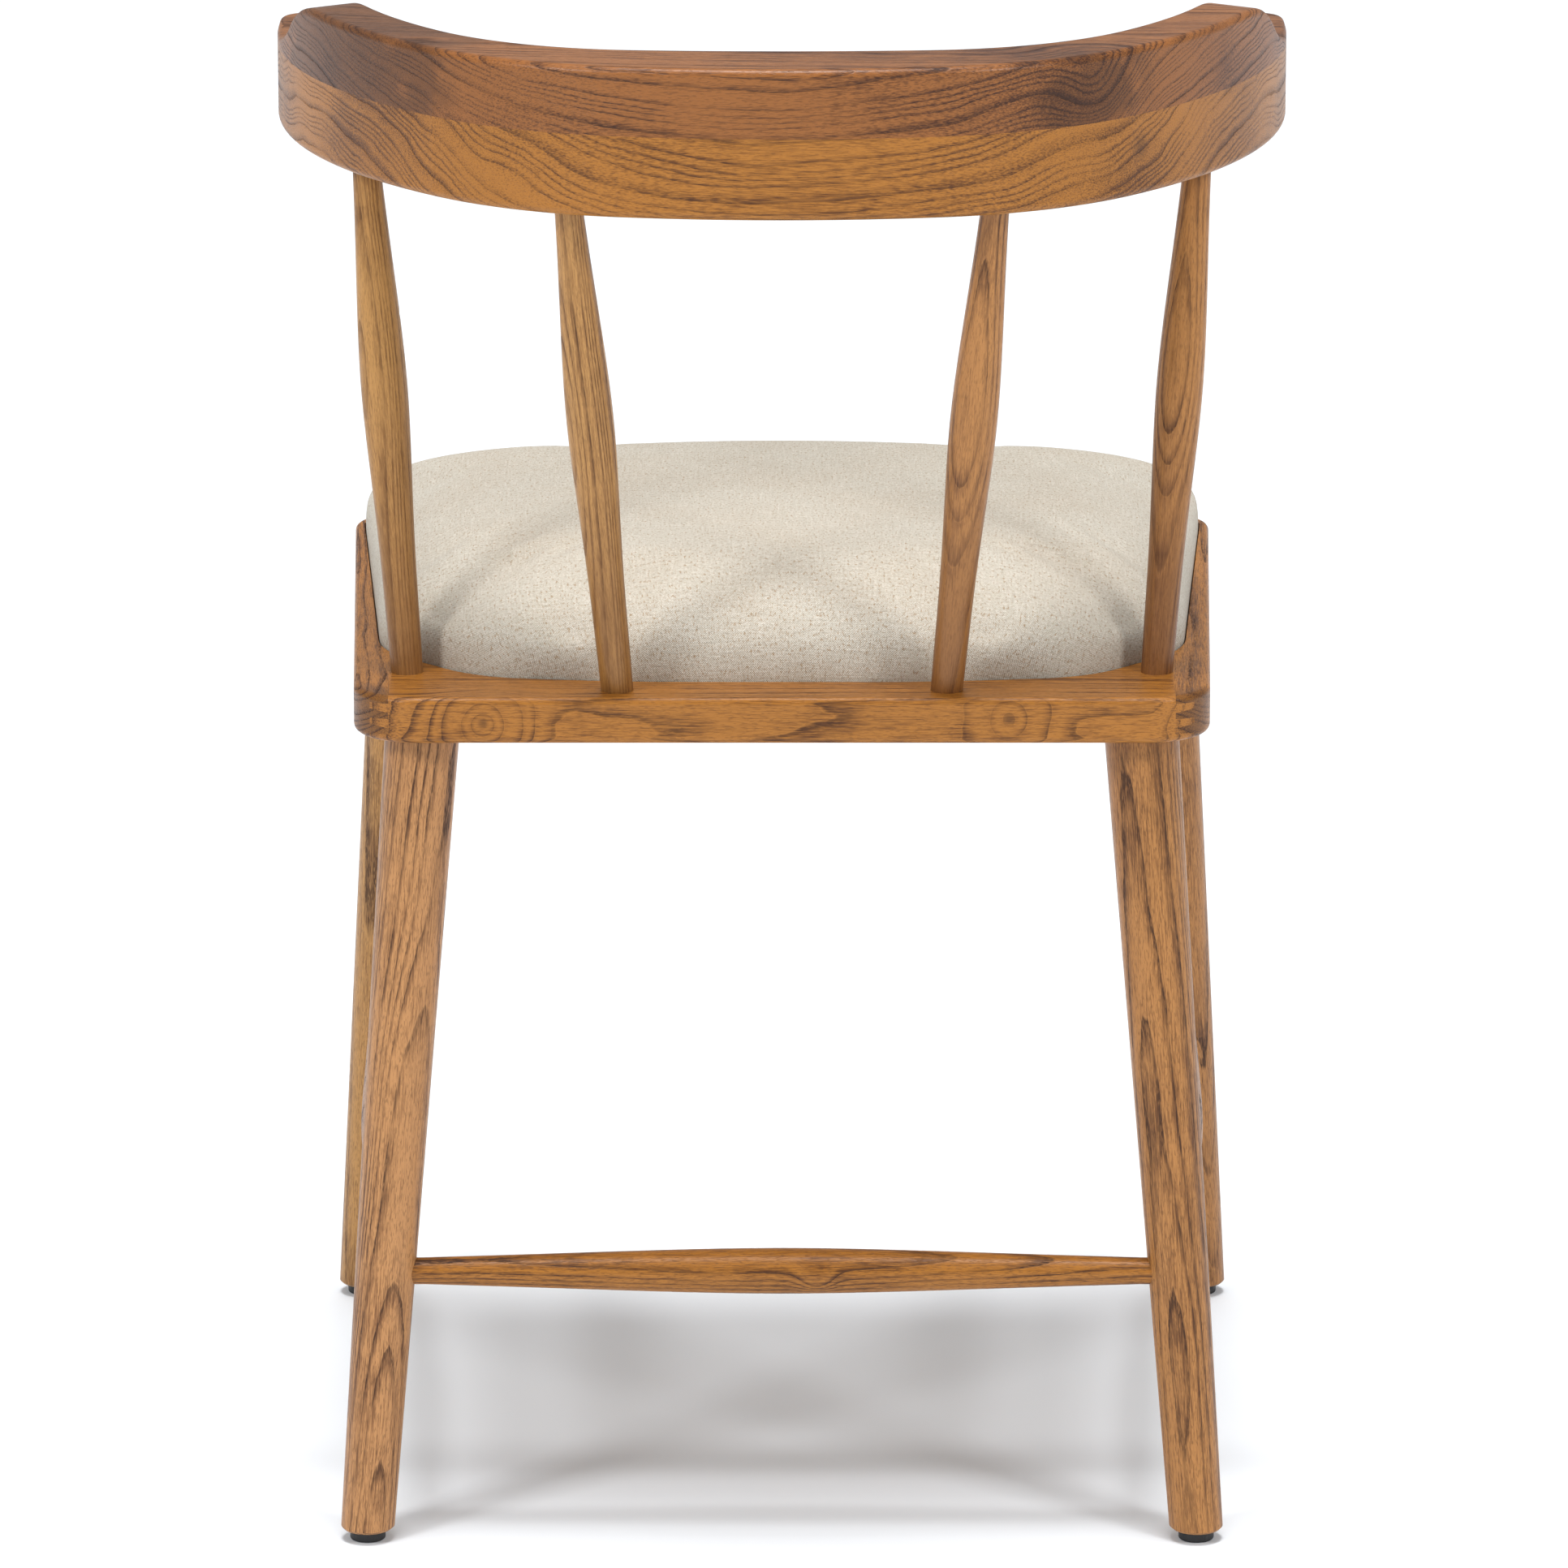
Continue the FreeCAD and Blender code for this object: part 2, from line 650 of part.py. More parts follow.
frame_holes = fuse("frame_holes", frame_tools + screw_holes)
node(cut("rear_rail_bored", common("rear_rail_blank", [rebated_ring, rear_zone]), frame_holes), "rail_rear")
node(cut("front_rail_bored", common("front_rail_blank", [rebated_ring, front_zone]), frame_holes),
     "rail_front")
for side_name, side in SIDES:
    half_box = doc.addObject("Part::Box", "half_space_" + side_name)
    half_box.setExpression("Length", "400")
    half_box.setExpression("Width", "900")
    half_box.setExpression("Height", "600")
    corner = Vector(0 if side > 0 else -400, -450, 0)
    half_box.Placement = FreeCAD.Placement(corner, FreeCAD.Rotation())
    half_ring = common("side_half_" + side_name, [rebated_ring, half_box])
    blank = cut("side_rail_blank_" + side_name, half_ring, cross_zones)
    node(cut("side_rail_bored_" + side_name, blank, frame_holes), "rail_side_" + side_name)

# --- Corner blocks ------------------------------------------------------------------------------
for row, corners in BLOCKS.items():
    for side_name, side in SIDES:
        label = "corner_block_%s_%s" % (row, side_name)
        body = doc.addObject("PartDesign::Body", label + "_body")
        outline = new_sketch(body, label + "_outline", "XY_Plane", under)
        polygon(outline, [("%d * (%s)" % (side, across), along) for across, along in corners])
        pad(body, outline, label + "_pad", "Sizes.block_thick")
        node(cut(label + "_bored", body, frame_holes), label)

# --- Drop-in seat -------------------------------------------------------------------------------
panel = seat_prism("seat_panel", "(Sizes.seat_gap + Sizes.wrap_thick)",
                   "Sizes.frame_top - Sizes.rebate_depth", "Sizes.panel_thick")
node(cut("seat_panel_bored", panel, frame_holes), "seat_panel")

# The cover is drawn down round the panel's edge, so the cushion has a recess for the panel.
cushion = seat_prism("seat_cushion", "Sizes.seat_gap", "Sizes.frame_top - Sizes.rebate_depth + 0.3",
                     "Sizes.cushion_top - Sizes.frame_top + Sizes.rebate_depth - 0.3")
fillet(cushion, "cushion_rounded", "Sizes.cushion_round",
       lambda edge: edge.BoundBox.ZMin > size("cushion_top") - 0.01)
hollow = seat_prism("panel_room", "(Sizes.seat_gap + Sizes.wrap_thick - 0.3)",
                    "Sizes.frame_top - Sizes.rebate_depth - 1", "Sizes.panel_thick + 1.3")
node(cut("seat_cushion_hollowed", cushion, hollow), "seat_cushion")

# --- Screws as two groups -----------------------------------------------------------------------
for label, members in (("screws_corner_blocks", screws[:block_screw_count]),
                       ("screws_seat", screws[block_screw_count:])):
    group = doc.addObject("Part::Compound", label + "_group")
    group.Links = members
    node(group, label)

# --- Bow ----------------------------------------------------------------------------------------
# The plan has an outer and an inner face. Each is seven tangent pieces, from the left tip round the
# back to the right tip: the back is thick and the arms are slimmer.


def arc(centre, radius, first, last):
    """An arc whose angles are measured from +X, in radians."""
    circle = Part.Circle(centre, Vector(0, 0, 1), radius)
    return Part.ArcOfCircle(circle, first, last)


def flipped(point):
    return Vector(-point.x, point.y, 0)


def bow_face(sketch, face):
    """Draws one face of the bow and ties it to the sheet. Returns the index of its first piece."""
    back, corner, side = [size("%s_%s_radius" % (face, part)) for part in ("back", "corner", "side")]
    half = size(face + "_half")
    back_centre = Vector(0, size(face + "_rear_y") - back, 0)
    side_centre = Vector(half - side, size("bow_parallel_y"), 0)
    # The corner arc touches both others from inside: its centre is at known distances from theirs.
    between = side_centre - back_centre
    gap = between.Length
    towards = ((back - corner) ** 2 - (side - corner) ** 2 + gap ** 2) / (2 * gap)
    off_line = math.sqrt((back - corner) ** 2 - towards ** 2)
    unit = Vector(between.x / gap, between.y / gap, 0)
    corner_centre = back_centre + unit * towards + Vector(unit.y, -unit.x, 0) * off_line
    back_turn = math.atan2(corner_centre.x - back_centre.x, corner_centre.y - back_centre.y)
    side_turn = math.atan2(corner_centre.x - side_centre.x, corner_centre.y - side_centre.y)
    quarter = math.pi / 2
    tip_y = size("bow_tip_y")
    straight_y = size("bow_parallel_y")
    first = sketch.GeometryCount
    for piece in (
        Part.LineSegment(Vector(half, tip_y, 0), Vector(half, straight_y, 0)),
        arc(side_centre, side, 0, quarter - side_turn),
        arc(corner_centre, corner, quarter - side_turn, quarter - back_turn),
        arc(back_centre, back, quarter - back_turn, quarter + back_turn),
        arc(flipped(corner_centre), corner, quarter + back_turn, quarter + side_turn),
        arc(flipped(side_centre), side, quarter + side_turn, math.pi),
        Part.LineSegment(Vector(-half, straight_y, 0), Vector(-half, tip_y, 0)),
    ):
        sketch.addGeometry(piece, False)
    for index in range(first, first + 6):
        sketch.addConstraint(Sketcher.Constraint("Tangent", index, 2, index + 1, 1))
    for offset, part, radius in ((3, "back", back), (2, "corner", corner), (1, "side", side)):
        rule = sketch.addConstraint(Sketcher.Constraint("Radius", first + offset, radius))
        sketch.setExpression("Constraints[%d]" % rule, "Sizes.%s_%s_radius" % (face, part))
    for near, far in ((2, 4), (1, 5)):
        sketch.addConstraint(Sketcher.Constraint("Equal", first + near, first + far))
    sketch.addConstraint(Sketcher.Constraint("Symmetric", first + 2, 3, first + 4, 3, -2))
    for offset in (0, 6):
        sketch.addConstraint(Sketcher.Constraint("Vertical", first + offset))
    for offset, point, expression in (
            (0, 2, "Sizes.bow_parallel_y"),
            (3, 3, "Sizes.%s_rear_y - Sizes.%s_back_radius" % (face, face))):
        rule = Sketcher.Constraint("DistanceY", -1, 1, first + offset, point, number(expression))
        rule_index = sketch.addConstraint(rule)
        sketch.setExpression("Constraints[%d]" % rule_index, expression)
    hold(sketch, first, 1, "Sizes.%s_half" % face, "Sizes.bow_tip_y")
    hold(sketch, first + 6, 2, "-Sizes.%s_half" % face, "Sizes.bow_tip_y")
    return first


def bow_board(label, low, high):
    """One board of the bow, between two heights."""
    body = doc.addObject("PartDesign::Body", label + "_body")
    plan = new_sketch(body, label + "_plan", "XY_Plane", low)
    outside = bow_face(plan, "outer")
    inside = bow_face(plan, "inner")
    for outer_end, inner_end in (((outside, 1), (inside, 1)), ((outside + 6, 2), (inside + 6, 2))):
        start = plan.getPoint(*outer_end)
        end = plan.getPoint(*inner_end)
        tip = plan.addGeometry(Part.LineSegment(start, end), False)
        plan.addConstraint(Sketcher.Constraint("Coincident", tip, 1, *outer_end))
        plan.addConstraint(Sketcher.Constraint("Coincident", tip, 2, *inner_end))
    pad(body, plan, label + "_pad", "%s - %s" % (high, low))
    return body


def at_tip(edge):
    """Upright edges at the ends of the arms."""
    box = edge.BoundBox
    return box.ZLength > 20 and box.YLength < 0.01 and abs(box.Center.y - size("bow_tip_y")) < 0.1


def level_edges(low, high):
    """Edges that lie, for their whole run, between two heights."""
    def test(edge):
        box = edge.BoundBox
        flat = box.ZLength < max(box.XLength, box.YLength)
        crossing = box.XLength > 0.01 and edge.Curve.TypeId == "Part::GeomLine"
        return flat and not crossing and box.ZMin > low and box.ZMax < high
    return test


lower = bow_board("bow_lower", "Sizes.bow_under", "Sizes.bow_joint")
fillet(lower, "bow_lower_tips", "Sizes.bow_tip_radius", at_tip)
fillet(lower, "bow_lower_rounded", "Sizes.bow_round",
       level_edges(size("bow_under") - 0.1, size("bow_under") + 0.1))
node(cut("bow_lower_bored", lower, fuse("bow_mortises", bow_tools)), "bow_lower")

upper = bow_board("bow_upper", "Sizes.bow_joint", "Sizes.bow_top")
fillet(upper, "bow_upper_tips", "Sizes.bow_tip_radius", at_tip)
# Over each arm the top falls in an S from the back's height to the arm's. The fall runs askew: it
# starts further back on the outer face than on the inner one.
top = size("bow_top")
low = size("arm_top")
reach = size("arm_fall_run") / 2
turn = 2 * math.atan((top - low) / (2 * reach))
radius = reach / math.sin(turn)
clear_x = -reach - 150
clear_z = top + 20
for side_name, side in (("left", 1), ("right", -1)):
    fall = new_sketch(upper, "arm_fall_" + side_name, "YZ_Plane", "%d * Sizes.inner_half" % side)
    fall.AttachmentOffset = FreeCAD.Placement(Vector(0, 0, 0), FreeCAD.Rotation(Vector(0, side, 0), 10))
    fall.setExpression("AttachmentOffset.Base.x", "Sizes.arm_fall_y")
    fall.setExpression("AttachmentOffset.Rotation.Angle", "Sizes.arm_fall_skew")
    fall.addGeometry(arc(Vector(reach, top - radius, 0), radius, math.pi / 2, math.pi / 2 + turn))
    fall.addGeometry(arc(Vector(-reach, low + radius, 0), radius, math.pi * 1.5, math.pi * 1.5 + turn))
    fall.addGeometry(Part.LineSegment(Vector(-reach, low, 0), Vector(clear_x, low, 0)))
    fall.addGeometry(Part.LineSegment(Vector(clear_x, low, 0), Vector(clear_x, clear_z, 0)))
    fall.addGeometry(Part.LineSegment(Vector(clear_x, clear_z, 0), Vector(reach, clear_z, 0)))
    fall.addGeometry(Part.LineSegment(Vector(reach, clear_z, 0), Vector(reach, top, 0)))
    fall.addConstraint(Sketcher.Constraint("Tangent", 0, 2, 1, 2))
    fall.addConstraint(Sketcher.Constraint("Coincident", 1, 1, 2, 1))
    fall.addConstraint(Sketcher.Constraint("Coincident", 2, 2, 3, 1))
    fall.addConstraint(Sketcher.Constraint("Coincident", 3, 2, 4, 1))
    fall.addConstraint(Sketcher.Constraint("Coincident", 4, 2, 5, 1))
    fall.addConstraint(Sketcher.Constraint("Coincident", 5, 2, 0, 1))
    fall.addConstraint(Sketcher.Constraint("Equal", 0, 1))
    hold(fall, 0, 1, "Sizes.arm_fall_run / 2", "Sizes.bow_top")
    hold(fall, 2, 1, "-Sizes.arm_fall_run / 2", "Sizes.arm_top")
    hold(fall, 2, 2, "-Sizes.arm_fall_run / 2 - 150", "Sizes.arm_top")
    hold(fall, 4, 1, "-Sizes.arm_fall_run / 2 - 150", "Sizes.bow_top + 20")
    hold(fall, 5, 1, "Sizes.arm_fall_run / 2", "Sizes.bow_top + 20")
    pocket(upper, fall, "arm_fall_cut_" + side_name, "180", "Symmetric")
fillet(upper, "bow_upper_rounded", "Sizes.bow_round",
       level_edges(size("bow_joint") + 1, size("bow_top") + 1))
node(upper, "bow_upper")

# --- Check and write ----------------------------------------------------------------------------
doc.recompute()
for item in doc.Objects:
    assert "Invalid" not in item.State and "Error" not in item.State, item.Name + " failed"
box = FreeCAD.BoundBox()
for item in NODES:
    shape = item.Shape
    assert not shape.isNull() and shape.isValid() and shape.Volume > 0, item.Label + " is bad"
    shape.exportStep("parts/%s.step" % item.Label)
    box.add(shape.BoundBox)
    print("%-28s %10.1f mm3  %d solid(s)" % (item.Label, shape.Volume, len(shape.Solids)))
print("nodes", len(NODES))
print("box x %.2f %.2f  y %.2f %.2f  z %.2f %.2f"
      % (box.XMin, box.XMax, box.YMin, box.YMax, box.ZMin, box.ZMax))
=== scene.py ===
import math

import bpy
import numpy as np
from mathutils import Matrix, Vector


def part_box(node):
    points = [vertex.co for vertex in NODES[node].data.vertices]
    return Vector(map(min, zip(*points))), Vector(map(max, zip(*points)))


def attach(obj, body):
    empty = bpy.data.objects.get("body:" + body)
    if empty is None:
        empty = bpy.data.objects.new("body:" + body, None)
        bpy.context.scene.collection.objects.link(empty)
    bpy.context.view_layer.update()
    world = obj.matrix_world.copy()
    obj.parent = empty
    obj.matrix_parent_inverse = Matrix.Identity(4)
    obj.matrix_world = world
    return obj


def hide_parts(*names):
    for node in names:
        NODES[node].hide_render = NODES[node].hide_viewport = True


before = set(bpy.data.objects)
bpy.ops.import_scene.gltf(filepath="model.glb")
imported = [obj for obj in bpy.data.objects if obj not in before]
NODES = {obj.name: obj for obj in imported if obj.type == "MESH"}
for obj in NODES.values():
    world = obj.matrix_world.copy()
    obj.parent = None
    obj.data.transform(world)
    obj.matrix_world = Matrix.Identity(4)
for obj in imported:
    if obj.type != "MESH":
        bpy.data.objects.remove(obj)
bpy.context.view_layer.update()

X, Y, Z = Vector((1, 0, 0)), Vector((0, 1, 0)), Vector((0, 0, 1))


# --- Node helpers -------------------------------------------------------------------------------
class Shader:
    """Builds one material's nodes. A value is a socket, a number or a triple."""

    def __init__(self, name):
        self.material = bpy.data.materials.new(name)
        self.material.use_nodes = True
        self.tree = self.material.node_tree
        self.tree.nodes.clear()
        self.out = self.tree.nodes.new("ShaderNodeOutputMaterial")
        self.bsdf = self.tree.nodes.new("ShaderNodeBsdfPrincipled")
        self.tree.links.new(self.bsdf.outputs[0], self.out.inputs[0])
        coordinates = self.tree.nodes.new("ShaderNodeTexCoord")
        self.place = coordinates.outputs["Object"]
        self.cloth = coordinates.outputs["UV"]

    def put(self, socket, value):
        if isinstance(value, bpy.types.NodeSocket):
            self.tree.links.new(value, socket)
        else:
            socket.default_value = value

    def math(self, operation, *values, clamp=False):
        item = self.tree.nodes.new("ShaderNodeMath")
        item.operation = operation
        item.use_clamp = clamp
        for socket, value in zip(item.inputs, values):
            self.put(socket, value)
        return item.outputs[0]

    def vector(self, operation, *values, output=0):
        item = self.tree.nodes.new("ShaderNodeVectorMath")
        item.operation = operation
        for socket, value in zip(item.inputs, values):
            self.put(socket, tuple(value) if isinstance(value, Vector) else value)
        return item.outputs[output]

    def dot(self, point, axis):
        return self.vector("DOT_PRODUCT", point, axis, output="Value")

    def distance(self, point, centre):
        return self.vector("DISTANCE", point, centre, output="Value")

    def combine(self, x, y, z):
        item = self.tree.nodes.new("ShaderNodeCombineXYZ")
        for socket, value in zip(item.inputs, (x, y, z)):
            self.put(socket, value)
        return item.outputs[0]

    def noise(self, point, scale, detail=2.0, roughness=0.5):
        item = self.tree.nodes.new("ShaderNodeTexNoise")
        self.put(item.inputs["Vector"], point)
        item.inputs["Scale"].default_value = scale
        item.inputs["Detail"].default_value = detail
        item.inputs["Roughness"].default_value = roughness
        return item.outputs["Fac"]

    def span(self, value, low, high, new_low=0.0, new_high=1.0):
        """Turns the range from low to high into another one, with soft ends."""
        item = self.tree.nodes.new("ShaderNodeMapRange")
        item.interpolation_type = "SMOOTHSTEP"
        for socket, number in zip(item.inputs, (value, low, high, new_low, new_high)):
            self.put(socket, number)
        return item.outputs[0]

    def stripe(self, value, start, full, fading, gone):
        """One where value is between full and fading, and zero before start and after gone."""
        return self.math("MULTIPLY", self.span(value, start, full), self.span(value, fading, gone, 1.0, 0.0))

    def mix(self, factor, first, second):
        item = self.tree.nodes.new("ShaderNodeMix")
        item.data_type = "RGBA"
        self.put(item.inputs[0], factor)
        for socket, value in ((item.inputs[6], first), (item.inputs[7], second)):
            self.put(socket, value if isinstance(value, bpy.types.NodeSocket) else (*value, 1.0))
        return item.outputs[2]

    def bump(self, height, distance, strength):
        item = self.tree.nodes.new("ShaderNodeBump")
        item.inputs["Strength"].default_value = strength
        item.inputs["Distance"].default_value = distance
        self.put(item.inputs["Height"], height)
        self.tree.links.new(item.outputs[0], self.bsdf.inputs["Normal"])

    def set(self, **values):
        for name, value in values.items():
            self.put(self.bsdf.inputs[name.replace("_", " ")], value)
        return self.material


def dress(name, material):
    """Gives one CAD node its material."""
    mesh = NODES[name].data
    mesh.materials.clear()
    mesh.materials.append(material)


# --- Places on the CAD pieces -------------------------------------------------------------------
def middle(name):
    low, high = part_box(name)
    return (low + high) / 2


def at(name, x, y, z):
    """A point in a node's box, as fractions of its sides."""
    low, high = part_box(name)
    return Vector((low.x + (high.x - low.x) * x, low.y + (high.y - low.y) * y,
                   low.z + (high.z - low.z) * z))


def long_axis(name):
    """The middle of a slender piece's own points, and its direction, up or towards +X."""
    points = np.array([v.co for v in NODES[name].data.vertices])
    centre = points.mean(0)
    _, _, axes = np.linalg.svd(points - centre, full_matrices=False)
    axis = Vector(axes[0])
    return Vector(centre), axis if axis.dot(Vector((1.0, 0.3, 2.0))) > 0 else -axis


# --- Wood ---------------------------------------------------------------------------------------
# Growth rings are cylinders round a pith that lies outside the piece. Each ring starts with a band
# of open pores, which show as dark dashes along the grain.
HONEY = dict(light=(0.385, 0.150, 0.022), dark=(0.105, 0.032, 0.004), pore=(0.034, 0.010, 0.002))
AMBER = dict(light=(0.490, 0.252, 0.078), dark=(0.175, 0.069, 0.014), pore=(0.050, 0.018, 0.005))
TAWNY = dict(light=(0.495, 0.240, 0.090), dark=(0.145, 0.054, 0.016), pore=(0.040, 0.014, 0.005))
UMBER = dict(light=(0.435, 0.194, 0.056), dark=(0.130, 0.046, 0.011), pore=(0.036, 0.012, 0.003))
RUSSET = dict(light=(0.285, 0.104, 0.025), dark=(0.060, 0.016, 0.004), pore=(0.024, 0.007, 0.002))
RAW = dict(light=(0.560, 0.380, 0.200), dark=(0.450, 0.280, 0.140), pore=(0.220, 0.120, 0.060))

# Where the marks of a year lie, from 0 at the year's start to 1 at its end.
PORE_LINE = (0.0, 0.04, 0.10, 0.20)
EARLY_BAND = (0.0, 0.06, 0.10, 0.55)
LATE_START = 0.60
# A year is wider or narrower by this part of a ring, over a cycle of so many rings.
YEAR_SWING = 0.50
YEAR_CYCLE = 4.7
# Painted shade at a spindle's lower end, where it meets the seat: where it is darkest and where it ends,
# along it from its middle.
BASE_SHADE_LOW, BASE_SHADE_HIGH = -0.15, 0.03


def wood(name, origin, grain, outward, tone, ring, pith, seed, warp=0.0035, tilt=0.0, aside=0.0,
         pores=1.0, cloudy=1.5, fibrous=2.6, base_shade=0.0, knots=(), dark_patches=()):
    """Wood whose grain runs along one axis through origin, with its pith on the side away from outward.

    ring is a year's width, pith how far away the middle of the rings is, and warp how much they
    wander. A pith tilted against the grain draws arches, centred aside from the middle. pores,
    cloudy and fibrous are strengths, and foot is the strength of the painted shade towards the lower end.
    A knot is its centre, its size and how far it lifts the rings, and a dark patch is its centre, its size
    and its strength.
    """
    s = Shader(name)
    along = grain.normalized()
    out = (outward - along * outward.dot(along)).normalized()
    across = along.cross(out)
    moved = s.vector("SUBTRACT", s.place, origin)
    g, a, b = s.dot(moved, along), s.dot(moved, out), s.dot(moved, across)

    def drawn(stretch, shift=0.0):
        """The piece's own coordinates, pressed together along the grain, so that marks come out long."""
        return s.combine(s.math("MULTIPLY_ADD", g, stretch, seed + shift), a, b)

    # the rings wander slowly along the grain, and flow round each knot
    slow = s.noise(drawn(0.30), 9.0)
    fine = s.noise(drawn(0.25, 3.1), 60.0)
    depth = s.math("MULTIPLY_ADD", g, tilt, s.math("ADD", a, pith))
    sideways = s.math("SUBTRACT", b, aside)
    radius = s.math("SQRT", s.math("ADD", s.math("POWER", depth, 2.0), s.math("POWER", sideways, 2.0)))
    radius = s.math("MULTIPLY_ADD", s.math("SUBTRACT", slow, 0.5), warp * 8.0, radius)
    radius = s.math("MULTIPLY_ADD", s.math("SUBTRACT", fine, 0.5), warp * 0.75, radius)
    hearts = []
    for centre, size, lift in knots:
        gap = s.distance(s.place, centre)
        squared = s.math("POWER", s.math("DIVIDE", gap, size), 2.0)
        swell = s.math("EXPONENT", s.math("MULTIPLY", squared, -1.0))
        radius = s.math("MULTIPLY_ADD", swell, lift, radius)
        hearts.append(s.span(gap, size * 0.04, size * 0.22, 1.0, 0.0))
    # wide and narrow years alternate
    years = s.math("SINE", s.math("MULTIPLY_ADD", radius, math.tau / (ring * YEAR_CYCLE), seed))
    radius = s.math("MULTIPLY_ADD", years, ring * YEAR_SWING, radius)
    phase = s.math("FRACT", s.math("DIVIDE", radius, ring))

    # early wood: a fine dark line of pores where the ring starts, in a brown band that clears slowly
    line = s.stripe(phase, *PORE_LINE)
    early = s.stripe(phase, *EARLY_BAND)
    strength = s.span(s.noise(drawn(1.2, 7.7), 22.0), 0.30, 0.62, 0.40, 1.0)
    dashes = s.span(s.noise(drawn(0.16), 1300.0, detail=1.0), 0.42, 0.54)
    scattered = s.span(s.noise(drawn(0.16), 2000.0, detail=0.0), 0.55, 0.68)
    line_pores = s.math("MULTIPLY", s.math("MULTIPLY_ADD", dashes, 0.60, 0.40), line)
    band_pores = s.math("MULTIPLY", s.math("MULTIPLY", dashes, early), 0.50)
    open_pores = s.math("MULTIPLY", s.math("MAXIMUM", line_pores, band_pores), strength)
    open_pores = s.math("MAXIMUM", open_pores, s.math("MULTIPLY", scattered, 0.38))
    fibre = s.noise(drawn(0.05, 1.9), 1500.0)
    clouds = s.noise(drawn(0.45, 5.0), 14.0, detail=3.0)

    late = s.math("MULTIPLY", s.span(phase, LATE_START, 1.0), 0.22)
    shade = s.math("MULTIPLY_ADD", s.math("MULTIPLY", early, strength), 0.62, late)
    shade = s.math("MULTIPLY_ADD", s.math("SUBTRACT", clouds, 0.44), cloudy, shade)
    shade = s.math("MULTIPLY_ADD", s.math("SUBTRACT", fibre, 0.5), fibrous, shade, clamp=True)
    colour = s.mix(shade, tone["light"], tone["dark"])
    colour = s.mix(s.math("MULTIPLY", open_pores, 0.88 * pores), colour, tone["pore"])
    # painted shade: the colour darkens towards the lower end of the piece, where it meets the seat
    if base_shade:
        colour = s.mix(s.span(g, BASE_SHADE_LOW, BASE_SHADE_HIGH, base_shade, 0.0), colour, tone["dark"])
    if hearts:
        # each knot has a dark heart, and there are at most two
        heart = hearts[0] if len(hearts) == 1 else s.math("MAXIMUM", *hearts)
        colour = s.mix(s.math("MULTIPLY", heart, 0.50), colour, tone["pore"])
    for centre, size, depth in dark_patches:
        gap = s.distance(s.place, centre)
        streaks = s.math("ADD", s.math("MULTIPLY", clouds, 0.6), s.math("MULTIPLY", fine, 0.4))
        wobble = s.math("MULTIPLY_ADD", s.math("SUBTRACT", streaks, 0.5), size * 2.6, gap)
        colour = s.mix(s.span(wobble, size * 0.45, size * 0.9, depth, 0.0), colour, tone["pore"])
    relief = s.math("MULTIPLY_ADD", open_pores, -1.0, s.math("MULTIPLY", fibre, 0.18))
    s.bump(relief, 0.00020, 0.6)
    return s.set(Base_Color=colour, Roughness=s.span(open_pores, 0.0, 1.0, 0.36, 0.58),
                 Specular_IOR_Level=0.34)


# Each slender piece: its tone, ring, pith, seed, outward, tilt, aside and knots.
SLENDER = (
    ("leg_rear_left", TAWNY, 0.0023, 0.014, 1.3, Vector((0.15, 1, 0)), -0.050, -0.011, ()),
    ("leg_rear_right", UMBER, 0.0031, 0.018, 8.2, Vector((-0.1, 1, 0)), -0.030, 0.012, ()),
    ("leg_front_left", AMBER, 0.0032, 0.028, 15.9, Vector((0.4, 1, 0)), 0.012, 0.004, ()),
    ("leg_front_right", UMBER, 0.0032, 0.026, 22.4, Vector((-0.6, 1, 0)), 0.020, 0.0, ()),
    ("spindle_inner_left", AMBER, 0.0026, 0.050, 31.7, Vector((1, 0.4, 0)), 0.010, 0.0, ()),
    ("spindle_inner_right", UMBER, 0.0028, 0.013, 38.6, Vector((0.2, 1, 0)), 0.030, 0.002,
     ((at("spindle_inner_right", 0.45, 0.8, 0.36), 0.010, 0.007),)),
    ("spindle_outer_left", AMBER, 0.0024, 0.040, 45.1, Vector((1, 0.5, 0)), 0.008, 0.0, ()),
    ("spindle_outer_right", UMBER, 0.0024, 0.018, 52.8, Vector((0.3, 1, 0)), 0.020, 0.0, ()),
    ("stretcher_rear", HONEY, 0.0036, 0.018, 60.3, Vector((0, 0.6, 1)), 0.010, 0.0,
     ((at("stretcher_rear", 0.455, 0.9, 0.45), 0.009, 0.006),)),
    ("stretcher_side_left", HONEY, 0.0036, 0.030, 67.9, Vector((1, 0, 0.5)), 0.010, 0.0, ()),
    ("stretcher_side_right", HONEY, 0.0036, 0.026, 74.2, Vector((-1, 0, 0.5)), 0.010, 0.0, ()),
)
# The spindles are smoother than the other wood, and carry painted shade towards the seat.
SPINDLE_LOOK = dict(pores=0.7, fibrous=1.5, base_shade=0.62)
for name, tone, ring, pith, seed, outward, tilt, aside, knots in SLENDER:
    centre, axis = long_axis(name)
    look = SPINDLE_LOOK if name.startswith("spindle") else {}
    dress(name, wood("wood_" + name, centre, axis, outward, tone, ring, pith, seed, warp=0.0016,
                     tilt=tilt, aside=aside, knots=knots, **look))


def end_grain(name, x):
    """The fingers at a side rail's rear corner, whose end grain takes more stain."""
    return ((at(name, x, 1.0, 0.5), 0.034, 0.54),)


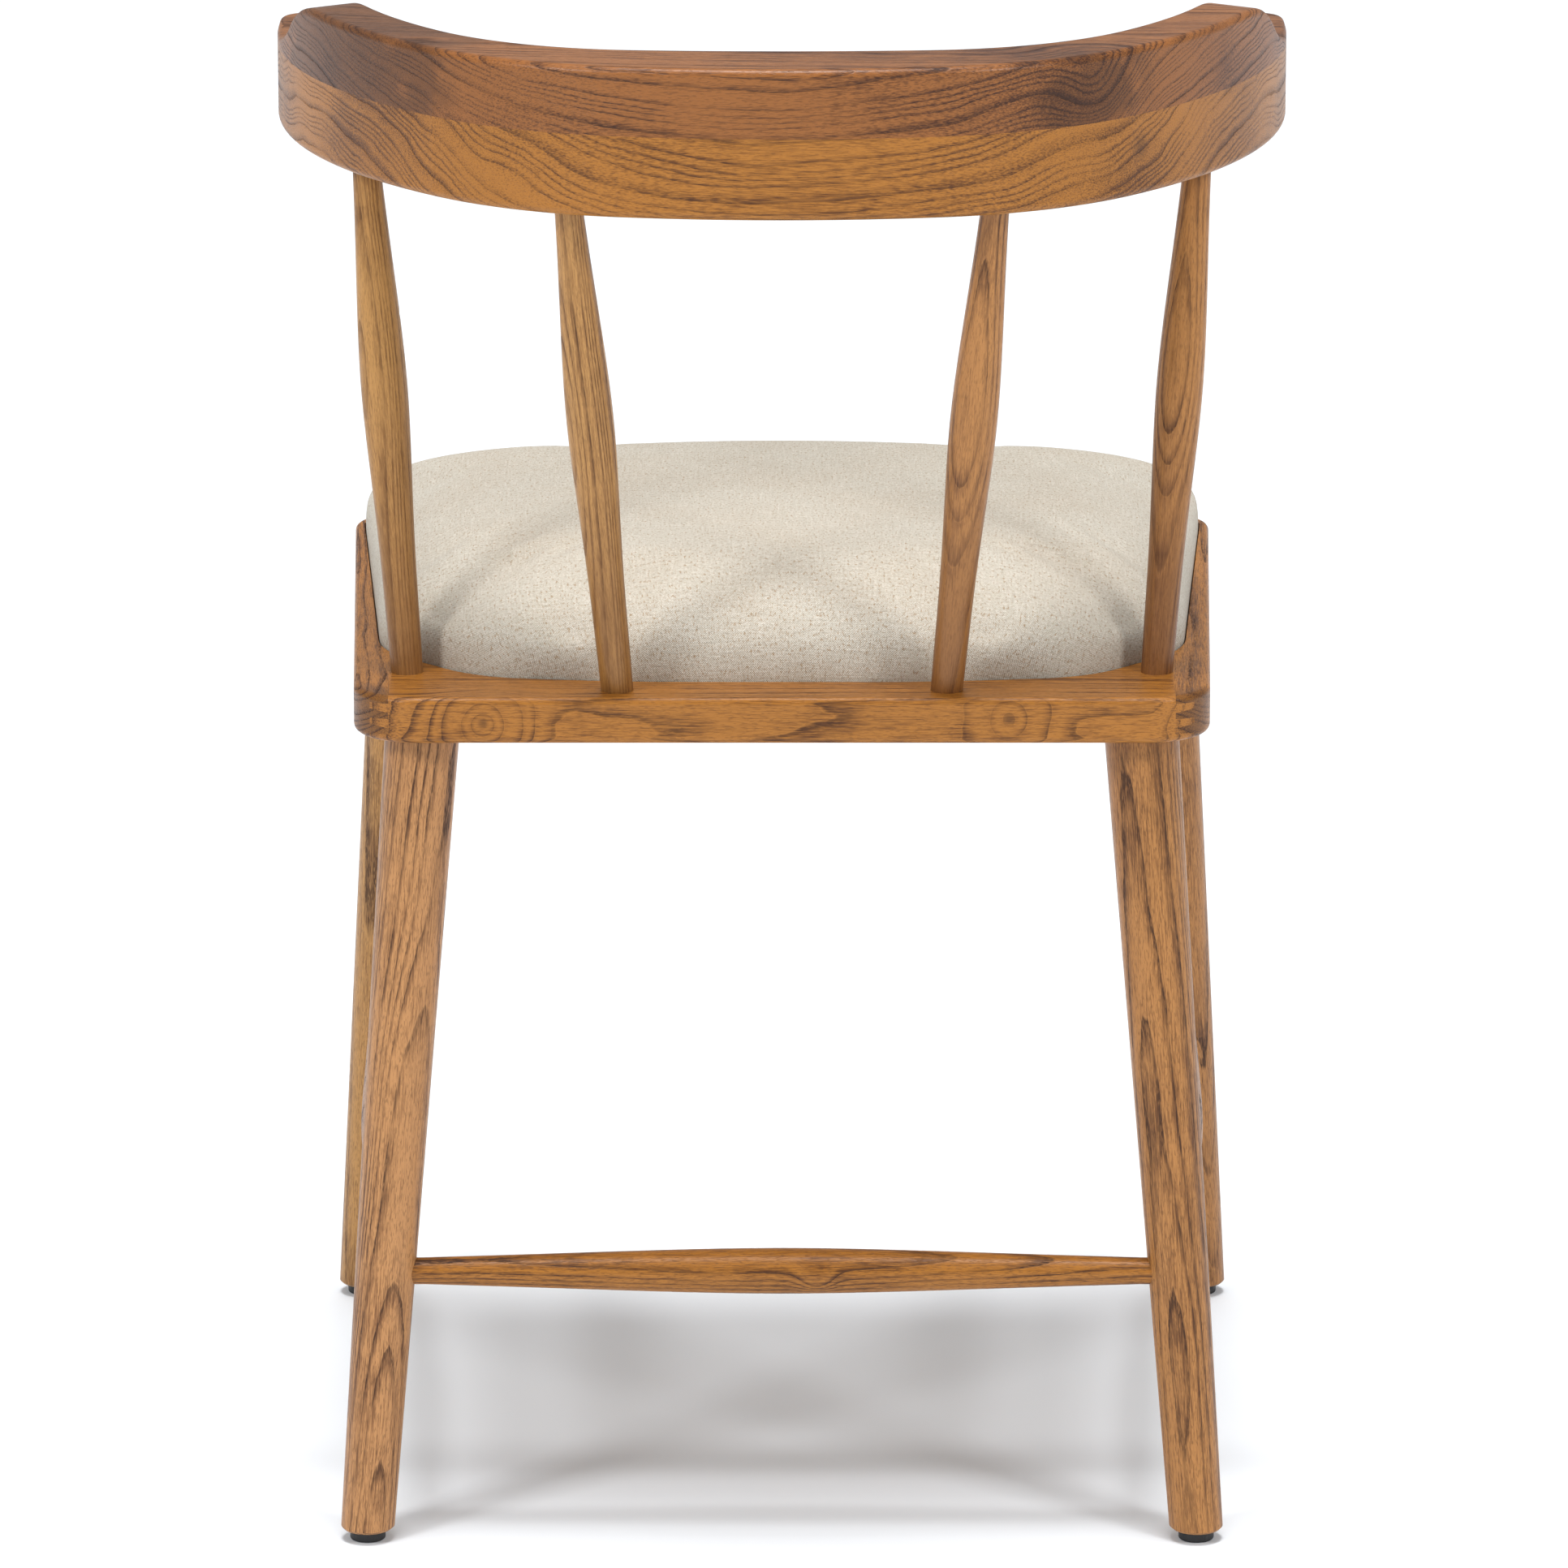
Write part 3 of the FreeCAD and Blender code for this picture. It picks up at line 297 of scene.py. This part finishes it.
# Each rail: its grain, outward, ring, pith, seed, pores, knots and dark patches.
RAILS = (
    ("rail_rear", X, Vector((0, 1, -0.25)), 0.0050, 0.030, 81.5, 0.75,
     ((at("rail_rear", 0.862, 1.0, 0.45), 0.020, 0.024),
      (at("rail_rear", 0.225, 1.0, 0.55), 0.017, 0.018)), ()),
    ("rail_front", X, Vector((0, -1, -0.3)), 0.0044, 0.034, 88.1, 1.0, (), ()),
    ("rail_side_left", Vector((-0.04, 1, 0)), Vector((0.3, 0, 1)), 0.0034, 0.040, 95.6, 1.0, (),
     end_grain("rail_side_left", 0.72)),
    ("rail_side_right", Vector((0.04, 1, 0)), Vector((-0.3, 0, 1)), 0.0034, 0.036, 102.3, 1.0, (),
     end_grain("rail_side_right", 0.28)),
)
for name, grain, outward, ring, pith, seed, pores, knots, patches in RAILS:
    dress(name, wood("wood_" + name, middle(name), grain, outward, HONEY, ring, pith, seed,
                     pores=pores, knots=knots, dark_patches=patches))

# The bow's rings are nearly level, and rise towards the arms on its outer face.
RING_NORMAL = Vector((0, 0.187, 0.982))
dress("bow_lower", wood("wood_bow_lower", middle("bow_lower"), Vector((1, 0.02, 0.01)), RING_NORMAL,
                        HONEY, 0.0044, 0.22, 110.7, warp=0.0058, pores=0.68, cloudy=2.2,
                        knots=((at("bow_lower", 0.155, 0.80, 0.60), 0.045, 0.010),)))
dress("bow_upper", wood("wood_bow_upper", middle("bow_upper"), Vector((1, -0.05, -0.02)), RING_NORMAL,
                        RUSSET, 0.0036, 0.30, 118.4, warp=0.0050, pores=0.78, cloudy=2.2,
                        knots=((at("bow_upper", 0.205, 0.84, 0.40), 0.030, 0.024),),
                        dark_patches=((at("bow_upper", 0.225, 0.86, 0.45), 0.050, 0.46),
                                      (at("bow_upper", 0.930, 0.60, 0.45), 0.110, 0.50))))
for row in ("rear", "front"):
    for side, sign in (("left", 1), ("right", -1)):
        name = "corner_block_%s_%s" % (row, side)
        dress(name, wood("wood_" + name, middle(name), Vector((1, sign, 0)), Z, RAW, ring=0.0035,
                         pith=0.05, seed=125.0 + sign + len(row)))


# --- Hidden panel, glides, screws ---------------------------------------------------------------
PLIES = 7.0


def plywood():
    s = Shader("plywood")
    low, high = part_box("seat_panel")
    moved = s.vector("SUBTRACT", s.place, low)
    ply = s.math("FLOOR", s.math("DIVIDE", s.dot(moved, Z), (high.z - low.z) / PLIES))
    turned = s.math("MODULO", ply, 2.0)
    across = s.mix(turned, (0.06, 1.0, 1.0), (1.0, 0.06, 1.0))
    grain = s.noise(s.vector("MULTIPLY", moved, across), 420.0, detail=3.0)
    clouds = s.noise(moved, 9.0)
    shade = s.math("ADD", s.math("MULTIPLY", grain, 0.6), s.math("MULTIPLY", clouds, 0.4))
    colour = s.mix(shade, (0.62, 0.44, 0.26), (0.40, 0.25, 0.13))
    colour = s.mix(s.math("MULTIPLY", turned, 0.25), colour, (0.30, 0.18, 0.09))
    s.bump(grain, 0.0002, 0.5)
    return s.set(Base_Color=colour, Roughness=0.7)


def black_plastic():
    s = Shader("glide_black")
    pitted = s.noise(s.place, 2200.0)
    worn = s.noise(s.place, 260.0, detail=3.0)
    s.bump(pitted, 0.00012, 0.5)
    colour = s.mix(s.span(worn, 0.45, 0.75), (0.012, 0.012, 0.013), (0.035, 0.034, 0.034))
    return s.set(Base_Color=colour, Roughness=s.span(worn, 0.3, 0.7, 0.42, 0.62))


def zinc():
    s = Shader("screw_steel")
    brushed = s.noise(s.vector("MULTIPLY", s.place, (1.0, 1.0, 0.08)), 4000.0)
    s.bump(brushed, 0.00005, 0.4)
    return s.set(Base_Color=s.mix(brushed, (0.62, 0.62, 0.60), (0.45, 0.45, 0.46)), Metallic=1.0,
                 Roughness=s.span(brushed, 0.0, 1.0, 0.28, 0.46))


dress("seat_panel", plywood())
HARDWARE = {"glide_": black_plastic(), "screws_": zinc()}
for name in NODES:
    for start, material in HARDWARE.items():
        if name.startswith(start):
            dress(name, material)


# --- Cushion ------------------------------------------------------------------------------------
THREAD_PITCH = 0.00130
THREAD_WANDER = 0.0016


def linen():
    """Plain weave with uneven threads and darker flecks, the same from every side."""
    s = Shader("linen")
    wander = s.noise(s.cloth, 55.0)
    px = s.math("MULTIPLY_ADD", wander, THREAD_WANDER, s.dot(s.cloth, X))
    py = s.math("MULTIPLY_ADD", wander, -THREAD_WANDER, s.dot(s.cloth, Y))
    across = s.math("SINE", s.math("MULTIPLY", px, math.tau / THREAD_PITCH))
    along = s.math("SINE", s.math("MULTIPLY", py, math.tau / THREAD_PITCH))
    weave = s.math("MULTIPLY", across, along)
    slub_x = s.noise(s.combine(s.math("MULTIPLY", px, 0.05), py, 0.0), 900.0)
    slub_y = s.noise(s.combine(px, s.math("MULTIPLY", py, 0.05), 0.7), 900.0)
    slubs = s.math("SUBTRACT", s.math("ADD", slub_x, slub_y), 1.0)
    pebbles = s.noise(s.cloth, 720.0, detail=3.0, roughness=0.75)
    fleck = s.noise(s.combine(px, s.math("MULTIPLY", py, 0.45), 0.2), 780.0, roughness=0.7)
    fleck_two = s.noise(s.combine(s.math("MULTIPLY", px, 0.45), py, 2.2), 640.0, roughness=0.7)
    clouds = s.noise(s.cloth, 16.0, detail=3.0)
    colour = s.mix(s.span(clouds, 0.3, 0.7), (0.605, 0.578, 0.506), (0.578, 0.536, 0.458))
    colour = s.mix(s.span(weave, -1.0, 1.0, 0.0, 0.34), colour, (0.40, 0.32, 0.22))
    colour = s.mix(s.span(slubs, -0.05, 0.22, 0.0, 0.22), colour, (0.86, 0.81, 0.73))
    colour = s.mix(s.span(pebbles, 0.46, 0.66, 0.0, 0.42), colour, (0.37, 0.29, 0.20))
    colour = s.mix(s.span(pebbles, 0.42, 0.28, 0.0, 0.50), colour, (0.90, 0.86, 0.78))
    colour = s.mix(s.span(fleck, 0.56, 0.66, 0.0, 0.70), colour, (0.32, 0.20, 0.10))
    colour = s.mix(s.span(fleck_two, 0.58, 0.70, 0.0, 0.55), colour, (0.31, 0.26, 0.20))
    height = s.math("MULTIPLY_ADD", slubs, 1.2, s.math("MULTIPLY", weave, 0.5))
    s.bump(s.math("MULTIPLY_ADD", pebbles, -1.4, height), 0.00035, 0.9)
    return s.set(Base_Color=colour, Roughness=0.92, Specular_IOR_Level=0.15, Sheen_Weight=0.12,
                 Sheen_Roughness=0.5)


def outline_of(name, count):
    """A node's middle, and its convex outline in plan as directions and the distance in each."""
    points = np.array([v.co[:2] for v in NODES[name].data.vertices]) - np.array(middle(name)[:2])
    angles = np.linspace(0, math.tau, count, endpoint=False)
    fine = np.linspace(0, math.tau, 1440, endpoint=False)
    normals = np.stack([np.cos(fine), np.sin(fine)], 1)
    reach = (points @ normals.T).max(0)
    rays = np.stack([np.cos(angles), np.sin(angles)], 1)
    facing = rays @ normals.T
    distance = np.where(facing > 0.02, reach / np.maximum(facing, 0.02), 1e9).min(1)
    return middle(name), rays, distance


# The cover is rings of points round the middle, as parts of the way out to the edge, and then a
# skirt down to the seat, as parts of its height.
SPOKES = 240
RINGS = (0.0, *np.linspace(0.04, 0.88, 22), 0.905, 0.93, 0.95, 0.965, 0.978, 0.988, 0.995, 1.0)
SKIRT = (0.35, 0.75, 1.0)
SKIRT_HEIGHT = 0.0105
SKIRT_INWARD = 0.0010
UNDERSIDE_GAP = 0.0004
# The crown is higher than the plain CAD cushion's, and it sags a little towards the corners. A
# corner is where the edge is farther out than the nearest edge, by up to CORNER_REACH of that.
CROWN = 1.09
FULLNESS = 6
CORNER_SAG = 0.14
CORNER_REACH = 0.35


def cover_points():
    """The cover's points from its middle out, down and to the middle underneath, and its rim."""
    centre, rays, distance = outline_of("seat_cushion", SPOKES)
    low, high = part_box("seat_cushion")
    rim = low.z + SKIRT_HEIGHT
    crown = (high.z - rim) * CROWN
    corner = np.clip((distance / distance.min() - 1.0) / CORNER_REACH, 0.0, 1.0)
    points = [(centre.x, centre.y, rim + crown)]
    for ring in RINGS[1:]:
        lift = max(0.0, 1.0 - ring ** FULLNESS) ** (1.0 / 3.0)
        for ray, reach, sag in zip(rays, distance, corner):
            spot = ray * reach * ring
            rise = crown * lift * (1.0 - CORNER_SAG * sag * ring ** 3)
            points.append((centre.x + spot[0], centre.y + spot[1], rim + rise))
    for drop in SKIRT:
        for ray, reach in zip(rays, distance):
            spot = ray * (reach - SKIRT_INWARD * drop)
            fall = (SKIRT_HEIGHT - UNDERSIDE_GAP) * drop
            points.append((centre.x + spot[0], centre.y + spot[1], rim - fall))
    points.append((centre.x, centre.y, low.z + UNDERSIDE_GAP))
    return points, rays, rim


def cover_faces(hub):
    """Triangles at the middle of the top and at the hub underneath, and quads between the rings."""
    bands = len(RINGS) - 2 + len(SKIRT)
    last = 1 + bands * SPOKES
    faces = []
    for spoke in range(SPOKES):
        after = (spoke + 1) % SPOKES
        faces.append((0, 1 + spoke, 1 + after))
        for band in range(bands):
            inner = 1 + band * SPOKES
            outer = inner + SPOKES
            faces.append((inner + spoke, outer + spoke, outer + after, inner + after))
        faces.append((hub, last + after, last + spoke))
    return faces


def lay_cloth(mesh, rays, hub):
    """Gives the mesh the cloth's own coordinates: the way over it from the middle, in metres."""
    spots = np.array([v.co for v in mesh.vertices])
    laid = np.zeros((len(spots), 2))
    travelled = np.zeros(SPOKES)
    before = np.repeat(spots[:1], SPOKES, 0)
    for first in range(1, hub, SPOKES):
        here = spots[first:first + SPOKES]
        travelled = travelled + np.linalg.norm(here - before, axis=1)
        laid[first:first + SPOKES] = rays * travelled[:, None]
        before = here
    layer = mesh.uv_layers.new(name="cloth")
    corners = np.empty(len(mesh.loops), dtype=np.int32)
    mesh.loops.foreach_get("vertex_index", corners)
    layer.data.foreach_set("uv", laid[corners].ravel())


def cushion_mesh():
    """A crowned closed form on the seat's outline, flat only underneath, and its rim's height."""
    points, rays, rim = cover_points()
    hub = len(points) - 1
    mesh = bpy.data.meshes.new("cushion_cover")
    mesh.from_pydata(points, [], cover_faces(hub))
    mesh.validate()
    mesh.update()
    lay_cloth(mesh, rays, hub)
    return mesh, rim


HELD_ABOVE_RIM = 0.004
SWELL_FRAMES = 20
MOST_SWELL = 0.005


def inflate(cushion, rim):
    """Swells the cover as cloth over its filling, with its tucked edge held."""
    mesh = cushion.data
    start = np.array([v.co for v in mesh.vertices])
    group = cushion.vertex_groups.new(name="held")
    group.add([v.index for v in mesh.vertices if v.co.z < rim + HELD_ABOVE_RIM], 1.0, "REPLACE")
    modifier = cushion.modifiers.new("Cloth", "CLOTH")
    cloth = modifier.settings
    cloth.vertex_group_mass = "held"
    cloth.quality = 6
    cloth.mass = 0.3
    cloth.tension_stiffness = 40
    cloth.compression_stiffness = 40
    cloth.shear_stiffness = 20
    cloth.bending_stiffness = 2
    cloth.use_pressure = True
    cloth.uniform_pressure_force = 4.0
    cloth.effector_weights.gravity = 0.0
    modifier.point_cache.frame_start = 1
    modifier.point_cache.frame_end = SWELL_FRAMES
    scene = bpy.context.scene
    for number in range(1, SWELL_FRAMES + 1):
        scene.frame_set(number)
    evaluated = cushion.evaluated_get(bpy.context.evaluated_depsgraph_get())
    shown = evaluated.to_mesh()
    change = np.array([v.co for v in shown.vertices]) - start
    evaluated.to_mesh_clear()
    cushion.modifiers.remove(modifier)
    scene.frame_set(1)
    length = np.linalg.norm(change, axis=1, keepdims=True)
    change *= np.minimum(1.0, MOST_SWELL / np.maximum(length, 1e-9))
    mesh.vertices.foreach_set("co", (start + change).ravel())
    mesh.update()


cushion_data, rim_height = cushion_mesh()
cushion = bpy.data.objects.new("cushion_cover", cushion_data)
bpy.context.scene.collection.objects.link(cushion)
inflate(cushion, rim_height)
finer = cushion.modifiers.new("finer", "SUBSURF")
finer.levels = finer.render_levels = 1
for face in cushion_data.polygons:
    face.use_smooth = True
cushion_data.materials.append(linen())
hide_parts("seat_cushion")
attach(cushion, "root")

# --- Stage --------------------------------------------------------------------------------------
floor_mesh = bpy.data.meshes.new("floor")
floor_mesh.from_pydata([(-30, -60, 0), (30, -60, 0), (30, 12, 0), (-30, 12, 0)], [], [(0, 1, 2, 3)])
floor = bpy.data.objects.new("floor", floor_mesh)
bpy.context.scene.collection.objects.link(floor)
stage = Shader("floor_white")
floor_colour = stage.mix(stage.noise(stage.place, 3.0), (0.80, 0.835, 0.875), (0.82, 0.855, 0.895))
floor_mesh.materials.append(stage.set(Base_Color=floor_colour, Roughness=0.9, Specular_IOR_Level=0.0))

SOFTBOX_SIZE = 0.6
SOFTBOX_TARGET = Vector((0, 0, 0.5))


def softbox(name, location, power):
    """A square studio lamp that faces the seat."""
    light = bpy.data.lights.new(name, "AREA")
    light.size = SOFTBOX_SIZE
    light.energy = power
    item = bpy.data.objects.new(name, light)
    item.location = location
    item.rotation_euler = (SOFTBOX_TARGET - Vector(location)).to_track_quat("-Z", "Y").to_euler()
    bpy.context.scene.collection.objects.link(item)


softbox("key_left", (1.9, 1.9, 2.3), 34)
softbox("key_right", (-1.9, 1.9, 2.3), 30)
sky = bpy.data.lights.new("overhead", "SUN")
sky.energy = 2.6
sky.angle = math.radians(22)
overhead = bpy.data.objects.new("overhead", sky)
overhead.location = (0, 0, 4)
overhead.rotation_euler = (math.radians(-3), 0, 0)
bpy.context.scene.collection.objects.link(overhead)

# The studio's walls are white to the eye, and light the chair a little less.
WALLS_AS_LIGHT = 0.46
WALLS_AS_SEEN = 1.1
world = bpy.data.worlds.new("studio")
bpy.context.scene.world = world
world.use_nodes = True
walls = world.node_tree
seen = walls.nodes.new("ShaderNodeLightPath").outputs["Is Camera Ray"]
level = walls.nodes.new("ShaderNodeMapRange")
for socket, value in zip(level.inputs[1:5], (0.0, 1.0, WALLS_AS_LIGHT, WALLS_AS_SEEN)):
    socket.default_value = value
walls.links.new(seen, level.inputs[0])
walls.nodes["Background"].inputs[0].default_value = (1.0, 1.0, 1.0, 1.0)
walls.links.new(level.outputs[0], walls.nodes["Background"].inputs[1])

# --- Camera -------------------------------------------------------------------------------------
# Behind the chair and a little above it, through a long lens.
CAMERA_PLACE = (-0.00107, 5.0362, 1.7059)
CAMERA_TILT_DOWN = 14.906
lens = bpy.data.cameras.new("camera")
lens.sensor_width = 36.0
lens.lens = 221.6
lens.clip_end = 200.0
camera = bpy.data.objects.new("camera", lens)
camera.location = CAMERA_PLACE
camera.rotation_euler = (math.radians(90 - CAMERA_TILT_DOWN), 0, math.radians(180))
bpy.context.scene.collection.objects.link(camera)
bpy.context.scene.camera = camera
bpy.context.scene.view_settings.view_transform = "Standard"
